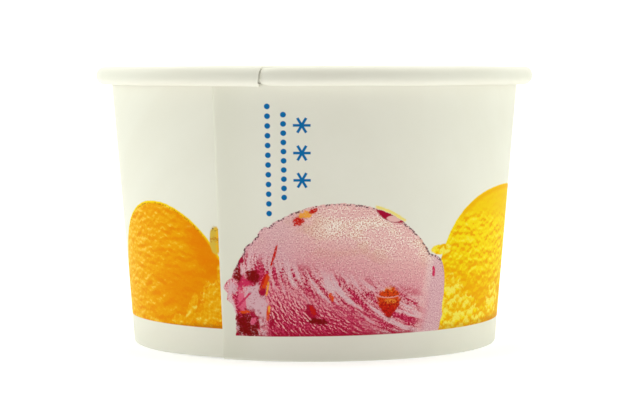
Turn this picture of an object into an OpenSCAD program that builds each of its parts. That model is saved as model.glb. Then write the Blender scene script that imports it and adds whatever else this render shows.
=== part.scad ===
// Paper ice cream cup, millimetres, +Z up.
// The origin is the centre of the foot, on the surface that the cup stands on.
// An azimuth of 0 faces -Y, and azimuths grow towards +X.
// The side is one sheet of paper: lapped along a seam, rolled out at the rim,
// and folded in at the foot round the skirt of the bottom disc.

/* [Cup] */
// Height from the table to the top of the rolled rim
cup_h = 47.3; // [42:0.1:60]
// Diameter over the side sheet at the table
foot_d = 62.5; // [56:0.1:66]
// Diameter over the rolled rim
rim_d = 75; // [74:0.1:84]
// Thickness of the paper
paper_t = 0.35; // [0.25:0.05:0.45]
// Film that seals two layers of paper to each other
film_t = 0.02; // [0.01:0.01:0.04]

/* [Rolled rim] */
// Height of the roll
roll_h = 3.0; // [2.7:0.1:4]
// Width of the roll, from the cup's inner face outwards
roll_w = 2.9; // [2.7:0.1:4]
// Outer radius of the roll's corners
roll_corner = 1.3; // [0.8:0.05:1.3]
// Gap between the roll's loose edge and the side below it
roll_slit = 0.15; // [0.05:0.05:0.3]
// How far the roll is larger where two layers are pressed into it
roll_swell = 0.12; // [0.05:0.01:0.35]

/* [Foot] */
// Height of the flap that is folded in and up
hem_h = 5.2; // [4.4:0.1:6.4]
// Inner radius of the fold at the table
fold_in_r = 0.08; // [0.05:0.01:0.1]

/* [Bottom disc] */
// Gap from the flap's edge up to the disc's underside
floor_gap = 0.6; // [0.5:0.05:1.5]
// Inner radius of the bend from disc to skirt
bend_in_r = 0.35; // [0.2:0.05:0.45]
// Gap from the skirt's edge down to the doubled fold
skirt_gap = 0.4; // [0.1:0.05:1]

/* [Seam] */
// Azimuth of the outer layer's cut edge
seam_az = -28.4; // [-60:0.1:0]
// Angle over which the two layers lap
lap_angle = 15; // [8:0.5:24]
// Angle over which the outer layer comes back down beside the lap
ease_angle = 12; // [8:0.5:20]
// Angle over which the inner layer's fold rises off the table
lift_angle = 30; // [15:0.5:45]

/* [Print] */
// Thickness of a layer of ink
ink_t = 0.05; // [0.03:0.01:0.08]
// Height of the print's lower edge
print_z = 4.3; // [3:0.1:6]
// Radius of the orange and pink scoops
scoop_r = 19.5; // [12:0.5:21]
// Radius of the yellow scoop
yellow_r = 21.5; // [12:0.5:23]
// Height of the centre of a scoop
scoop_z = 6.0; // [5:0.1:9]
// Azimuth of the pink scoop in front
pink_az = 7; // [0:1:15]
// Azimuth of the orange scoop in front
orange_az = -54; // [-60:1:-48]
// Azimuth of the yellow scoop in front
yellow_az = 76; // [70:1:82]
// Azimuth of the orange scoop at the back
orange_back_az = 124; // [121:1:127]
// Azimuth of the pink scoop at the back
pink_back_az = 178; // [175:1:181]
// Azimuth of the yellow scoop at the back
yellow_back_az = 232; // [229:1:235]

/* [Berries and crumbs] */
// Radius of the largest berry
berry_r = 1.5; // [0.8:0.1:2.2]
// Radius of the ring that the berries lie on
berry_ring = 9.5; // [5:0.5:11]
// Height of that ring's centre above the scoop's
berry_rise = 8.5; // [6:0.5:10]
// Radius of the crumbs along a scoop's foot
crumb_r = 1.5; // [0.8:0.1:2]
// Crumbs along a scoop's foot
crumbs = 11; // [7:1:13]

/* [Blue marks] */
// Azimuth of the first row of dots
dots_az = -12.6; // [-20:0.1:-10]
// Azimuth from one row of dots to the next
dots_step_az = 4.2; // [3:0.1:5]
// Height of the middle of a row, in heights of the free face from the scoop to the roll
dots_z = 0.5; // [0.45:0.01:0.55]
// Dots in the first row
dots_n = 12; // [4:1:12]
// Distance from one dot to the next, in heights of the free face
dot_pitch = 0.076; // [0.065:0.001:0.08]
// Diameter of a dot
dot_d = 0.9; // [0.5:0.05:1]
// Azimuth of the snow stars
star_az = -3.5; // [-4:0.1:8]
// Height of the lowest snow star, in heights of the free face
star_z = 0.26; // [0.2:0.01:0.3]
// Distance from one snow star to the next, in heights of the free face
star_pitch = 0.24; // [0.2:0.01:0.28]
// Length of a snow star's bars
star_d = 2.7; // [1.5:0.1:3.2]
// Width of a snow star's bars
star_bar = 0.42; // [0.2:0.02:0.6]

/* [Hidden] */
$fn = 96;
PAPER = [0.95, 0.94, 0.90];
ORANGE = [0.92, 0.66, 0.15];
PINK = [0.83, 0.62, 0.62];
YELLOW = [0.94, 0.78, 0.14];
CRIMSON = [0.62, 0.10, 0.18];
AMBER = [0.86, 0.55, 0.06];
BLUE = [0.10, 0.50, 0.74];
// How far apart the points of a rounded corner lie, in degrees
CORNER_STEP = 15;
// How far past its end the easing face is carried, in degrees, so that the faces cross
EASE_MORE = 3;
// The steps in which the roll grows towards the lap
ROLL_STEPS = 2;
// How far one step runs into the next, in degrees
STEP_OVER = 1;
// How far from the seam a front scoop may reach, in degrees
SEAM_REACH = 120;
// The lobes along a foot are about this many times a crumb's size, and differ by so much
LOBE_MEAN = 1.2;
LOBE_SWING = 0.4;
LOBE_TURN = 137;
// The berries on a pink scoop, the turn from one to the next, and how each one shrinks
BERRIES = 4;
BERRY_TURN = 100;
BERRY_SHRINK = 0.85;

rim_r = rim_d / 2;
// The roll stands upright, so its inner face meets the sloping side at half its height
roll_in = rim_r - roll_w;
roll_z = cup_h - roll_h;
roll_mid_z = cup_h - roll_h / 2;
// The side's outer face
wall_slope = (roll_in + paper_t - foot_d / 2) / roll_mid_z;
function wall_r(z) = foot_d / 2 + wall_slope * z;
// The hem is three layers of paper and two films wide
hem_w = 3 * paper_t + 2 * film_t;
fold_r = paper_t + fold_in_r;
bend_r = paper_t + bend_in_r;
// The disc's top face, and its skirt's lower edge
floor_z = hem_h + floor_gap + paper_t;
skirt_z = 2 * paper_t + skirt_gap;
// Azimuths along the seam
lap_end_az = seam_az + lap_angle;
ease_end_az = lap_end_az + ease_angle;
// The band of the side that may be printed
face_z0 = print_z / 2;
face_z1 = roll_z - roll_h / 2;
// The free face lies between the pink scoop's outline at an azimuth and the roll
function scoop_edge_z(az) =
    let (aside = wall_r(scoop_z) * sin(az - pink_az))
    scoop_z + sqrt(max(0, scoop_r * scoop_r - aside * aside));
function free_z(az, share) = scoop_edge_z(az) * (1 - share) + face_z1 * share;
// How deep an added layer is let into the one that carries it
let_in = paper_t / 2;

// Points along a round corner, from angle a0 to a1
function arc(x, z, r, a0, a1) =
    let (n = ceil(abs(a1 - a0) / CORNER_STEP))
    [for (i = [0 : n]) let (a = a0 + (a1 - a0) * i / n) [x + r * cos(a), z + r * sin(a)]];

function reverse(list) = [for (i = [len(list) - 1 : -1 : 0]) list[i]];

// The roll's skin, grown by g but for its inner face, which is moved in by side_g:
// over the top, down the outside and back to the side
function roll_path(g, side_g) = concat(
    arc(roll_in + roll_corner + g - side_g, cup_h - roll_corner, roll_corner + g, 180, 90),
    arc(rim_r - roll_corner, cup_h - roll_corner, roll_corner + g, 90, 0),
    arc(rim_r - roll_corner, roll_z + roll_corner, roll_corner + g, 0, -90),
    [[wall_r(roll_z) + roll_slit, roll_z - g]]);

// The same skin from an angle on its inner corner on, short of its loose edge
function roll_back(g, from) = concat(
    arc(roll_in + roll_corner, cup_h - roll_corner, roll_corner + g, from, 90),
    arc(rim_r - roll_corner, cup_h - roll_corner, roll_corner + g, 90, 0),
    arc(rim_r - roll_corner, roll_z + roll_corner, roll_corner + g, 0, -90),
    [[wall_r(roll_z) + roll_slit + let_in, roll_z - g]]);

// The fold at the foot, grown by g: down, in under the side and up the flap
function hem_path(g) = concat(
    arc(wall_r(fold_r) - fold_r, fold_r, fold_r + g, 0, -90),
    arc(wall_r(fold_r) - hem_w + fold_r, fold_r, fold_r + g, -90, -180),
    [[wall_r(hem_h) - hem_w - g, hem_h]]);

// The whole sheet in section: from the roll's loose edge over the rim, down the
// inside and round the fold to the flap's edge, and back along its other face
module sheet_section() {
    polygon(concat(
        reverse(roll_path(0, 0)),
        [[roll_in, roll_mid_z]],
        hem_path(-paper_t),
        reverse(hem_path(0)),
        [[wall_r(roll_mid_z), roll_mid_z]],
        roll_path(-paper_t, -paper_t)));
}

// Turns a section from one azimuth to another
module sweep(az0, az1) {
    rotate([0, 0, az0 - 90])
        rotate_extrude(angle = az1 - az0)
            children();
}

// Everything inside the side's outer face grown by g, with the fold's rounded corner
module body_section(g, z0, z1) {
    foot = z0 > 0
        ? [[wall_r(z0) + g, z0]]
        : arc(wall_r(fold_r) + g - fold_r, fold_r, fold_r, -90, 0);
    polygon(concat([[0, z0]], foot, [[wall_r(z1) + g, z1], [0, z1]]));
}

// The same cone half a sheet larger and moved sideways: it lies a sheet outside the
// side's face where the lap ends, and meets that face where the easing ends
module ease_body(g, z0, z1) {
    shift = paper_t / (2 * sin(ease_angle / 2));
    rotate([0, 0, lap_end_az + ease_angle / 2 - 180])
        translate([shift, 0, 0])
            rotate_extrude()
                body_section(g + paper_t / 2, z0, z1);
}

// The outer layer where it lies over the inner one and eases back down
module lap_body(g, z0, z1) {
    intersection() {
        sweep(seam_az, ease_end_az + EASE_MORE) body_section(paper_t + g, z0, z1);
        ease_body(g, z0, z1);
    }
}

module lap_layer() {
    difference() {
        lap_body(0, 0, roll_z + let_in);
        rotate_extrude() body_section(-let_in, let_in, roll_z + paper_t);
        translate([0, 0, -let_in]) cylinder(h = 3 * let_in, r = wall_r(0) - hem_w / 2);
    }
}

// The wedge of air behind the inner layer's cut edge, inside the cup
module lap_hollow() {
    intersection() {
        sweep(lap_end_az, ease_end_az + EASE_MORE) body_section(0, floor_z - bend_r, roll_z);
        ease_body(-paper_t, floor_z - bend_r, roll_z);
    }
}

// In the roll the layers change places, so the step is at the lap's other end. The
// added layer comes out of the paper at the top of the roll's inner corner.
module roll_lap() {
    for (i = [1 : ROLL_STEPS]) {
        grow = roll_swell * i / ROLL_STEPS;
        sink = let_in * i / ROLL_STEPS;
        sweep(
            seam_az - ease_angle * (1 - i / ROLL_STEPS),
            i < ROLL_STEPS
                ? seam_az - ease_angle * (1 - (i + 1) / ROLL_STEPS) + STEP_OVER
                : lap_end_az)
            polygon(concat(
                roll_back(grow, 120),
                reverse(roll_back(-sink, 150))));
    }
}

// Two layers of paper in the fold, and on the flap
module hem_lap() {
    sweep(seam_az - lift_angle, lap_end_az - STEP_OVER)
        polygon([
            [wall_r(0) - hem_w + let_in, paper_t],
            [wall_r(0) - let_in, paper_t],
            [wall_r(0) - let_in, 2 * paper_t],
            [wall_r(0) - hem_w + let_in, 2 * paper_t]]);
    sweep(seam_az, lap_end_az)
        polygon(concat(
            [[wall_r(0) - let_in, 0]],
            arc(wall_r(fold_r) - hem_w - paper_t + fold_r, fold_r, fold_r, -90, -180),
            [[wall_r(hem_h) - hem_w - paper_t, hem_h]],
            [[wall_r(hem_h) - hem_w + let_in, hem_h]],
            [[wall_r(fold_r) - hem_w + let_in, paper_t + let_in]],
            [[wall_r(fold_r), paper_t + let_in]]));
}

// Below the inner layer's fold, which rises by one sheet on its way to the lap
module hem_lift() {
    run = wall_r(0) * sin(lift_angle);
    intersection() {
        sweep(seam_az - lift_angle, seam_az + lap_angle / 2) square([rim_r, hem_h]);
        rotate([0, 0, seam_az - lift_angle - 90])
            rotate([atan(paper_t / run), 0, 0])
                translate([0, -rim_r, -hem_h]) cube([rim_r, 2 * rim_r, hem_h]);
    }
}

module sidewall() {
    color(PAPER)
        difference() {
            union() {
                difference() {
                    rotate_extrude() sheet_section();
                    hem_lift();
                }
                lap_layer();
                roll_lap();
                hem_lap();
            }
            lap_hollow();
        }
}

// A flat disc whose edge is bent down into a skirt, held between side and flap
module bottom_disc() {
    edge = paper_t + film_t;
    bend_z = floor_z - bend_r;
    bend_x = wall_r(bend_z) - edge - bend_r;
    color(PAPER)
        rotate_extrude()
            polygon(concat(
                [[0, floor_z]],
                arc(bend_x, bend_z, bend_r, 90, 0),
                [[wall_r(skirt_z) - edge, skirt_z]],
                [[wall_r(skirt_z) - edge - paper_t, skirt_z]],
                arc(bend_x, bend_z, bend_in_r, 0, 90),
                [[0, floor_z - paper_t]]));
}

// The printed face: the side's outer face with the lap, grown by g
module face_body(g) {
    rotate_extrude() body_section(g, face_z0, face_z1);
    lap_body(g, face_z0, face_z1);
}

// A layer of ink, 0 on the paper and 1 on the first
module ink_skin(layer) {
    difference() {
        face_body((layer + 1) * ink_t);
        face_body(layer * ink_t);
    }
}

// A flat shape seen from one azimuth, carried through the side
module stamp(az) {
    rotate([0, 0, az])
        translate([0, -rim_r / 3, 0])
            rotate([90, 0, 0])
                linear_extrude(rim_r)
                    children();
}

// A flat shape printed on the side
module ink(az, layer) {
    intersection() {
        ink_skin(layer);
        stamp(az) children();
    }
}

// One side of the seam only, out to the reach of a scoop
module left_of_seam() {
    sweep(seam_az - SEAM_REACH, seam_az) square([rim_r, cup_h]);
}

module right_of_seam() {
    sweep(seam_az, seam_az + SEAM_REACH) square([rim_r, cup_h]);
}

// A scoop in outline, with a lobe at each end of its foot
module scoop_round(r) {
    translate([0, scoop_z]) circle(r);
    for (side = [-1, 1])
        translate([side * (r - crumb_r / 2), scoop_z - crumb_r / 3]) circle(crumb_r);
}

// A scoop stands on the print's lower edge
module scoop(r) {
    intersection() {
        scoop_round(r);
        translate([-rim_r, print_z]) square([rim_d, cup_h]);
    }
}

// The lobes that make the foot of a scoop darker and ragged
module foot_lobes(r) {
    for (i = [0 : crumbs - 1])
        translate([(r - crumb_r) * (2 * i / (crumbs - 1) - 1), print_z])
            circle(crumb_r * (LOBE_MEAN + LOBE_SWING * sin(LOBE_TURN * i)));
}

// Berries lie on a flattened ring in the scoop, each a little smaller than the last
module berry_spots() {
    for (i = [0 : BERRIES - 1])
        translate([
            berry_ring * cos(BERRY_TURN * (i + 0.2)),
            scoop_z + berry_rise + berry_ring / 2 * sin(BERRY_TURN * (i + 0.2))])
            circle(berry_r * pow(BERRY_SHRINK, i));
}

// The pink scoops lie in front of their neighbours, and the orange ones in front of
// the yellow ones
module ink_on_pink(layer) {
    intersection() {
        ink(pink_az, layer) children();
        right_of_seam();
    }
    ink(pink_back_az, layer) children();
}

module ink_on_orange(layer) {
    intersection() {
        ink(orange_az, layer) children();
        left_of_seam();
    }
    difference() {
        ink(orange_back_az, layer) children();
        stamp(pink_back_az) scoop_round(scoop_r);
    }
}

module ink_on_yellow(layer) {
    difference() {
        ink(yellow_az, layer) children();
        stamp(pink_az) scoop_round(scoop_r);
        stamp(orange_back_az) scoop_round(scoop_r);
    }
    difference() {
        ink(yellow_back_az, layer) children();
        stamp(pink_back_az) scoop_round(scoop_r);
        stamp(orange_az) scoop_round(scoop_r);
    }
}

module print_orange() {
    color(ORANGE) ink_on_orange(0) scoop(scoop_r);
}

module print_pink() {
    color(PINK) ink_on_pink(0) scoop(scoop_r);
}

module print_yellow() {
    color(YELLOW) ink_on_yellow(0) scoop(yellow_r);
}

// The pink scoops' berries and ragged foot, printed over the pink
module print_crimson() {
    color(CRIMSON)
        ink_on_pink(1)
            intersection() {
                scoop(scoop_r);
                union() {
                    foot_lobes(scoop_r);
                    berry_spots();
                }
            }
}

// The ragged foot of the orange and yellow scoops, printed over them
module print_amber() {
    color(AMBER) {
        ink_on_orange(1)
            intersection() {
                scoop(scoop_r);
                foot_lobes(scoop_r);
            }
        ink_on_yellow(1)
            intersection() {
                scoop(yellow_r);
                foot_lobes(yellow_r);
            }
    }
}

// A row of dots, one above the other
module dot_row(az, n) {
    ink(az, 0)
        for (i = [0 : n - 1])
            translate([0, free_z(az, dots_z + (i - (n - 1) / 2) * dot_pitch)])
                circle(d = dot_d);
}

// A star of six equal spokes
module snow_star() {
    for (turn = [0, 60, 120])
        rotate(turn) square([star_d, star_bar], center = true);
}

module print_blue() {
    color(BLUE) {
        dot_row(dots_az, dots_n);
        dot_row(dots_az + dots_step_az, dots_n - 2);
        ink(star_az, 0)
            for (i = [0 : 2])
                translate([0, free_z(star_az, star_z + i * star_pitch)]) snow_star();
    }
}

sidewall();
bottom_disc();
print_orange();
print_pink();
print_yellow();
print_crimson();
print_amber();
print_blue();
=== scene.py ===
# %% [markdown]
# # A paper ice cream cup
#
# The cup is two pieces of coated paper. One long sheet makes the side: its ends lap
# along a seam, its top is rolled outwards into the rim, and its foot is folded in round
# the second piece, a disc that is bent down at its edge. Both are modelled here as what
# they are, strips with a thickness that follow a bent path, and the printing is worked
# out by the shader. Lengths are millimetres until a mesh is made. The camera, the floor
# and the lamps are placed in metres.

import math

import bpy
import numpy as np
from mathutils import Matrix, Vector


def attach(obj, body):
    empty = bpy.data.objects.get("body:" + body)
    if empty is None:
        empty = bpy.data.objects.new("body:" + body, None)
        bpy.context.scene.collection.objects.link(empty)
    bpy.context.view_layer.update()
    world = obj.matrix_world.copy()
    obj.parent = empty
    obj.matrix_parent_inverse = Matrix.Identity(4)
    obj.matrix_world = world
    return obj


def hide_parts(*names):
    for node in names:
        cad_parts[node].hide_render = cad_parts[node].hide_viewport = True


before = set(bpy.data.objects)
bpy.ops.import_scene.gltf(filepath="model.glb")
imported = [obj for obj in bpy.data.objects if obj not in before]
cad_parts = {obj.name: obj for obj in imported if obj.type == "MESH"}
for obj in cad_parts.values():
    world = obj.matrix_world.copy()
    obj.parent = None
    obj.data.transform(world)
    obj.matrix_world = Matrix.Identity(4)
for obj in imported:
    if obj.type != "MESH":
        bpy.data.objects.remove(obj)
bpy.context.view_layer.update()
MM = 0.001

# %% [markdown]
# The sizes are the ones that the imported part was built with, so that each mesh lies where
# its solid lies. The side is a cone: its outer face is `wall_r(z)` from the axis. The
# roll at the rim stands upright and meets that cone at half the roll's height.

# %% Sizes of the cup
CUP_H = 47.3
FOOT_R = 31.25
RIM_R = 37.5
PAPER = 0.35
FILM = 0.02
HALF = PAPER / 2

ROLL_H = 3.0
ROLL_W = 2.9
ROLL_CORNER = 1.38
ROLL_SLIT = 0.15
ROLL_IN = RIM_R - ROLL_W
ROLL_Z = CUP_H - ROLL_H
ROLL_MID_Z = CUP_H - ROLL_H / 2

HEM_H = 5.2
FOLD_ROOM = 0.08
FOLD_R = PAPER + FOLD_ROOM
HEM_W = 3 * PAPER + 2 * FILM
SLOPE = (ROLL_IN + PAPER - FOOT_R) / ROLL_MID_Z


def wall_r(z):
    return FOOT_R + SLOPE * z


print("side leans out by", round(math.degrees(math.atan(SLOPE)), 2), "degrees")

# %% [markdown]
# The sheet is longer than the way round the cup. From the outer cut edge it runs to the
# right for a full turn, and then goes on for the width of the lap, behind its own
# beginning. All angles along it are counted in degrees from that outer cut edge. In the
# wall and the flap the beginning lies outside, and in the roll and the fold it lies
# inside, because there the sheet turns over. Past the lap the outer layer comes back to
# the cone within `EASE` degrees, and the fold climbs over the inner end through `LIFT`.

# %% Angles of the seam
SEAM_AZ = -28.0
LAP = 14.2
EASE = 12.0
LIFT = 30.0
LAYER = PAPER + FILM
TURN = 360.0


def ease(x):
    x = np.clip(x, 0.0, 1.0)
    return x * x * (3 - 2 * x)


def lap_out(u):
    """How far the outer layer stands out beside the lap, at u degrees along the sheet."""
    return LAYER * (1 - ease((u - LAP) / EASE))


# %% [markdown]
# In section the sheet is one bent line: from the roll's loose edge over the rim, down the
# wall, in under the foot and up the flap. The line is drawn through the middle of the
# paper, from straight runs and round corners, and each point gets a normal that points to
# the side of the sheet that the ice cream touches.

# %% Corners, straight runs and normals
def corner(x, z, r, start, stop, count):
    a = np.radians(np.linspace(start, stop, count))
    return np.stack([x + r * np.cos(a), z + r * np.sin(a)], axis=1)


def run(a, b, count):
    """Points between two ends, without the ends."""
    t = np.linspace(0, 1, count + 2)[1:-1, None]
    return np.array(a) * (1 - t) + np.array(b) * t


def line_normals(line):
    step = np.gradient(line, axis=0)
    step /= np.linalg.norm(step, axis=1)[:, None]
    return np.stack([step[:, 1], -step[:, 0]], axis=1)


print("a quarter turn of 1 mm:", corner(0, 0, 1, 0, 90, 3).round(2).tolist())

# %% [markdown]
# Here the line is put together, point by point from the roll to the flap. The places in it
# where the rim's inner corner and the wall begin are kept by number, because the sheet
# moves differently on either side of them.

# %% The sheet's line in section
CORNER_POINTS = 9
FOLD_POINTS = 6
WALL_POINTS = 26
LOOSE_POINTS, FLAT_POINTS, FLAP_POINTS = 3, 2, 5
LOOSE_RUN = 1 + LOOSE_POINTS
TOP_INDEX = LOOSE_RUN + 2 * (CORNER_POINTS + FLAT_POINTS)
WALL_FIRST = TOP_INDEX + CORNER_POINTS
WALL_LAST = WALL_FIRST + WALL_POINTS + 1

roll_r = ROLL_CORNER - HALF
fold_mid_r = FOLD_R - HALF
loose = (wall_r(ROLL_Z) + ROLL_SLIT, ROLL_Z + HALF)
low_out = corner(RIM_R - ROLL_CORNER, ROLL_Z + ROLL_CORNER, roll_r, -90, 0, CORNER_POINTS)
top_out = corner(RIM_R - ROLL_CORNER, CUP_H - ROLL_CORNER, roll_r, 0, 90, CORNER_POINTS)
top_in = corner(ROLL_IN + ROLL_CORNER, CUP_H - ROLL_CORNER, roll_r, 90, 180, CORNER_POINTS)
wall_top = (ROLL_IN + HALF, ROLL_MID_Z)
fold_out = corner(wall_r(FOLD_R) - FOLD_R, FOLD_R, fold_mid_r, 0, -90, FOLD_POINTS)
fold_in_x = wall_r(FOLD_R) - HEM_W + FOLD_R
fold_in = corner(fold_in_x, FOLD_R, fold_mid_r, -90, -180, FOLD_POINTS)
flap_end = (wall_r(HEM_H) - HEM_W + HALF, HEM_H)

line = np.concatenate(
    [
        [loose],
        run(loose, low_out[0], LOOSE_POINTS),
        low_out,
        run(low_out[-1], top_out[0], FLAT_POINTS),
        top_out,
        run(top_out[-1], top_in[0], FLAT_POINTS),
        top_in,
        [wall_top],
        run(wall_top, fold_out[0], WALL_POINTS),
        fold_out,
        fold_in,
        run(fold_in[-1], flap_end, FLAP_POINTS),
        [flap_end],
    ]
)
normals = line_normals(line)
along = np.concatenate([[0], np.cumsum(np.linalg.norm(np.diff(line, axis=0), axis=1))])
print(len(line), "points on a line", round(float(along[-1]), 1), "mm long")

# %% [markdown]
# Sweeping the line round the cup gives the sheet. At each angle the line is first moved
# along its normals: outwards by a layer where the wall and the flap lie on the outside of
# the lap, and over by a layer where the roll and the fold pass round the inner end. The
# tool that rolls the rim presses two layers into almost the room of one, so the outer
# layer is pushed in there and springs back a little beside the notch.

# %% How the two ends of the sheet move
PRESSED = 0.85
SPRING_BACK = 8.0
SLIT, SLIT_WIDE = 0.2, 0.7

numbers = np.arange(len(line))
past_top = numbers >= TOP_INDEX
in_roll = line[:, 1] > ROLL_MID_Z


def outer_end(moved, u):
    """The sheet's first end: outside in the wall and the flap, pushed into the roll."""
    moved[:, 0] -= lap_out(u) * np.where(past_top, normals[:, 0], 0.0)
    push = PRESSED * LAYER * np.clip(1 - (u - LAP) / SPRING_BACK, 0, 1) ** 3
    push += SLIT * np.clip(1 - (u - LAP) / SLIT_WIDE, 0, 1)
    moved[~past_top] -= push * normals[~past_top]
    moved[:, 1] -= push * np.where(past_top & in_roll, normals[:, 1], 0.0)


def inner_end(moved, u):
    """The sheet's last end: over the other one in the roll and in the fold."""
    roll_over = (1 - PRESSED) * LAYER * ease((u - (TURN - EASE)) / EASE)
    fold_over = LAYER * ease((u - (TURN - LIFT)) / LIFT)
    over = np.where(line[:, 1] > HEM_H * 2, roll_over, fold_over)
    upright = np.where(past_top, np.abs(normals[:, 0]), 0.0)
    moved += (over * (1 - upright))[:, None] * normals


print("a pressed layer takes", round((1 - PRESSED) * LAYER, 3), "mm of room")

# %% [markdown]
# A few slow waves keep the rim from being a perfect circle, which paper never is. They
# fade towards the foot, where the disc holds the sheet round. A row of a table is a
# wave's size in millimetres, how often it comes in a turn, and where it starts.

# %% Waves of the rim
WAVES_OUT = ((0.05, 3, 0.6), (0.03, 8, 2.0), (0.015, 19, 0.0))
WAVES_UP = ((0.03, 2, 1.1), (0.02, 9, 0.3))
STEADY_Z = 8


def wave(az, table):
    return sum(size * np.sin(times * az + start) for size, times, start in table)


def waves(az, z):
    """How far the sheet is out of round: outwards and upwards."""
    high = ease((z - STEADY_Z) / (CUP_H - STEADY_Z))
    return high * wave(az, WAVES_OUT), high**2 * wave(az, WAVES_UP)


print("rim is out of round by up to", sum(row[0] for row in WAVES_OUT), "mm")

# %% [markdown]
# Now each angle along the sheet gets a section of its own: the line as it lies there, and
# from it the printed side, half a sheet out, and the inner side, half a sheet in. At its
# cut edge the wall is crushed a little, as a cutting die leaves it. The cut through the
# roll isn't upright, so its lower end is swept less far than its upper end.

# %% Sweep the line round the cup
STEPS = 440
NOTCH_LEAN = 0.72
CRUSH, CRUSH_WIDE = 0.12, 0.9

on_wall = (numbers >= WALL_FIRST) & (numbers < WALL_LAST)


def section_at(u):
    """The line at u degrees along the sheet, on the printed and on the inner side."""
    moved = line.copy()
    if u < TURN / 2:
        outer_end(moved, u)
    else:
        inner_end(moved, u)
    from_lap = u % TURN
    beside_lap = lap_out(from_lap) if from_lap < TURN / 2 else 0.0
    moved[: LOOSE_RUN + 1, 0] += beside_lap * np.linspace(1, 0, LOOSE_RUN + 1)
    out, up = waves(math.radians(u + SEAM_AZ), moved[:, 1])
    moved[:, 0] += out
    moved[:, 1] += up
    printed, inside = moved - HALF * normals, moved + HALF * normals
    crushed = CRUSH * max(0.0, 1 - u / CRUSH_WIDE) ** 2
    printed[on_wall] += crushed * normals[on_wall]
    return printed, inside


def around(points, az):
    r, z = points[:, 0], points[:, 1]
    return np.stack([r * np.sin(az), -r * np.cos(az), z], axis=1)


def lean_at(u):
    """The cut through the roll isn't upright: its lower end lies further left."""
    rise = np.where(in_roll | ~past_top, (line[:, 1] - ROLL_MID_Z) / ROLL_H, 0.0)
    return NOTCH_LEAN * ease((u - TURN) / LAP) * rise


near_seam = [0.0, 0.12, 0.28, 0.5, *np.linspace(CRUSH_WIDE, LAP - 0.1, 18)]
near_seam += [LAP + 0.1, LAP + 0.3, LAP + 0.5]
further = np.linspace(LAP + SLIT_WIDE, TURN + LAP, STEPS + 1 - len(near_seam))
turns = np.concatenate([near_seam, further])
rings = []
for u in turns:
    printed, inside = section_at(u)
    az = np.radians(u + SEAM_AZ + lean_at(u))
    rings.append(np.concatenate([around(printed, az), around(inside, az)[::-1]]))
rings = np.array(rings)
print("sheet swept in", len(turns) - 1, "steps")

# %% [markdown]
# A swept strip is a grid of quads, so the mesh is made straight from arrays. A ladder of
# quads closes each cut end, between its printed and its inner side.

# %% Make the side sheet's mesh
def loop_mesh(name, rings):
    """Rings of points joined by quads, and a ladder of quads at each end."""
    count, size = rings.shape[:2]
    i, j = np.meshgrid(np.arange(count - 1), np.arange(size), indexing="ij")
    k = (j + 1) % size
    here, there = i * size, (i + 1) * size
    quads = np.stack([here + j, here + k, there + k, there + j], -1).reshape(-1, 4)
    rung = np.arange(size // 2 - 1)
    start = np.stack([rung, size - 1 - rung, size - 2 - rung, rung + 1], -1)
    stop = start[:, ::-1] + (count - 1) * size
    faces = np.concatenate([quads, start, stop])
    mesh = bpy.data.meshes.new(name)
    mesh.from_pydata((rings.reshape(-1, 3) * MM).tolist(), [], faces.tolist())
    mesh.update()
    return mesh


side_mesh = loop_mesh("side_sheet", rings)
print("side sheet:", len(side_mesh.vertices), "points,", len(side_mesh.polygons), "faces")

# %% [markdown]
# Paper bends smoothly, so its faces are shaded smooth, but the edges of the sheet are
# crisp. They are found by number: `corners` are places in a ring whose edges run along
# the strip, and `crisp_rings` are the rings round which the sheet was cut.

# %% Crisp edges
def mark_crisp(mesh, size, corners, crisp_rings):
    ends = np.empty(2 * len(mesh.edges), dtype=np.int64)
    mesh.edges.foreach_get("vertices", ends)
    a, b = ends.reshape(-1, 2).T
    same = (a % size == b % size) & np.isin(a % size, corners)
    cut = (a // size == b // size) & np.isin(a // size, crisp_rings)
    sharp = mesh.attributes.new("sharp_edge", "BOOLEAN", "EDGE")
    sharp.data.foreach_set("value", same | cut)
    mesh.polygons.foreach_set("use_smooth", [True] * len(mesh.polygons))


POINTS = len(line)
sheet_corners = [0, POINTS - 1, POINTS, 2 * POINTS - 1]
mark_crisp(side_mesh, 2 * POINTS, sheet_corners, [0, len(turns) - 1])
print("crisp corners in each ring:", sheet_corners)

# %% [markdown]
# Two UV maps lie on the side. `OFBake` is a rectangle that holds every face once, with
# most of its height given to the printed wall and the two cut ends beside it at the right.
# `Print` is the flat artwork: millimetres along the sheet and up the wall, on the outer
# face of the wall only. Everything else lies at `NOT_PRINTED`, far below the print.

# %% Two UV maps
PRINT_R = 33.0
NOT_PRINTED = -50.0
PRINT_SHARE = 3.5
MARGIN, SPAN = 0.01, 0.98
SIDE_WIDE = 0.95
CUT_ENDS, CUT_END_WIDE = (0.968, 0.984), 0.006


def add_uv(mesh, name, uv):
    layer = mesh.uv_layers.new(name=name)
    layer.data.foreach_set("uv", uv.reshape(-1).astype(np.float32))


def ring_grid(rings):
    """The numbers of each quad's step and place, and which places are printed."""
    count, size = rings.shape[:2]
    i, j = np.meshgrid(np.arange(count - 1), np.arange(size), indexing="ij")
    places = np.arange(size)
    return i, j, (places >= WALL_FIRST) & (places < WALL_LAST)


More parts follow.
